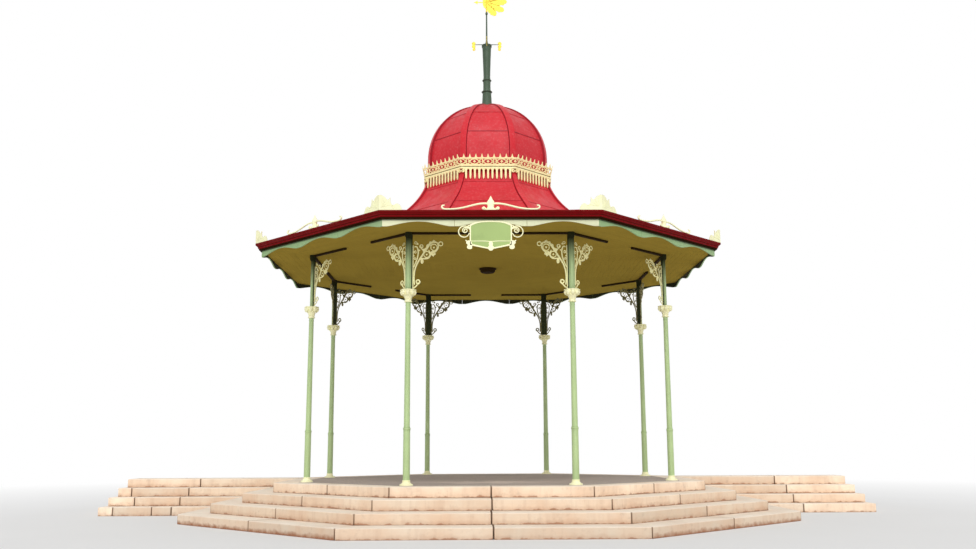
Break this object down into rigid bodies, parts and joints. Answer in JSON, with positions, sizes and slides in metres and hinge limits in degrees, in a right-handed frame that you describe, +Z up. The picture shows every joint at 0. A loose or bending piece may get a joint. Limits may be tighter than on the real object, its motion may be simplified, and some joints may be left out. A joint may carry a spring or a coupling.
{
  "type": "octagonal park bandstand on a stepped stone platform",
  "caption": "Park bandstand: slim cast-iron columns with pierced brackets carry an octagonal ogee roof with cresting and a weather vane, on a stepped stone platform with side steps.",
  "frame": {"origin": "ground level, under the centre of the column octagon", "axes": "+Z up; -Y towards the front side, which has the plaque and the widest steps; +X to the right"},
  "size_m": [15.4, 9.876, 11.3294],
  "materials": {
    "stone": "sawn, weathered",
    "paving": "rolled asphalt",
    "rubble": "rubble in lime concrete",
    "green_iron": "gloss paint",
    "cream_iron": "gloss paint",
    "ceiling_boards": "painted",
    "dark_iron": "matt",
    "valance_boards": "painted",
    "crimson_iron": "gloss paint",
    "red_sheet": "satin paint",
    "plaque_green": "satin paint",
    "dark_green_iron": "weathered paint",
    "gilt": "gold leaf"
  },
  "bodies": {
    "root": {"brackets_1": "cream_iron", "brackets_2": "cream_iron", "brackets_3": "cream_iron", "brackets_4": "cream_iron", "brackets_5": "cream_iron", "brackets_6": "cream_iron", "brackets_7": "cream_iron", "brackets_8": "cream_iron", "ceiling": "ceiling_boards", "ceiling_vent": "dark_iron", "column_1": "green_iron", "column_2": "green_iron", "column_3": "green_iron", "column_4": "green_iron", "column_5": "green_iron", "column_6": "green_iron", "column_7": "green_iron", "column_8": "green_iron", "compass_arms": "dark_green_iron", "corner_ornaments": "cream_iron", "cresting": "cream_iron", "dome": "red_sheet", "dome_ledge": "red_sheet", "dome_rolls": "red_sheet", "eaves_arms": "green_iron", "finial_post": "dark_green_iron", "floor_paving": "paving", "gutter": "crimson_iron", "hip_rolls": "red_sheet", "kerb_course": "stone", "left_wing_step_1": "stone", "left_wing_step_2": "stone", "left_wing_step_3": "stone", "left_wing_step_4": "stone", "lower_roof": "red_sheet", "plaque_board": "plaque_green", "plaque_frame": "cream_iron", "platform_core": "rubble", "rear_platform": "stone", "right_wing_step_1": "stone", "right_wing_step_2": "stone", "right_wing_step_3": "stone", "right_wing_step_4": "stone", "roof_neck": "red_sheet", "side_ornaments": "cream_iron", "spindle_cap": "gilt", "step_course_1": "stone", "step_course_2": "stone", "step_course_3": "stone", "valance": "valance_boards", "vane_spindle": "dark_green_iron"},
    "vane": {"weather_vane": "gilt"}
  },
  "joints": [
    {"name": "vane_turn", "type": "hinge", "parent": "root", "child": "vane", "pos_m": [0, 0, 10.885], "axis": [0, 0, 1], "continuous": true}
  ]
}
